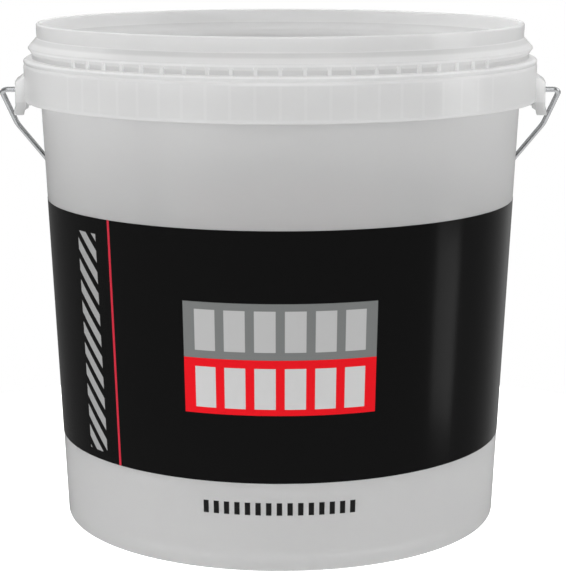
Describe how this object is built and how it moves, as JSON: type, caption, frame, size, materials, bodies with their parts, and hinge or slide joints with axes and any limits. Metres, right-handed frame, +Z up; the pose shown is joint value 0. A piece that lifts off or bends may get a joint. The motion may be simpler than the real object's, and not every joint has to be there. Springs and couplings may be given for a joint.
{
  "type": "mixing bucket",
  "caption": "Round tapered plastic mixing bucket with a ribbed rim skirt, a printed wrap label and a swinging wire bail with a turning grip.",
  "frame": {"origin": "on the floor plane, on the axis of the round shell", "axes": "+Z up out of the open top; -Y the front, where the label's panel is; X through the two ears; the bail rests on the +Y side"},
  "size_m": [0.4128, 0.3749, 0.365],
  "materials": {
    "shell_plastic": "natural translucent polypropylene, smooth, slightly glossy",
    "label_film": "thin black printed film, semi-gloss",
    "bail_steel": "bright galvanised drawn wire",
    "grip_plastic": "white moulded polypropylene, satin"
  },
  "bodies": {
    "bucket": {"pail_body": "shell_plastic", "wrap_label": "label_film"},
    "bail": {"bail_wire": "bail_steel"},
    "grip": {"bail_grip": "grip_plastic"}
  },
  "joints": [
    {"name": "bail_swing", "type": "hinge", "parent": "bucket", "child": "bail", "pos_m": [0, 0, 0.3153], "axis": [1, 0, 0], "range_deg": [0, 255.7]},
    {"name": "grip_spin", "type": "hinge", "parent": "bail", "child": "grip", "pos_m": [0, 0.17885, 0.17632], "axis": [1, 0, 0], "continuous": true}
  ]
}
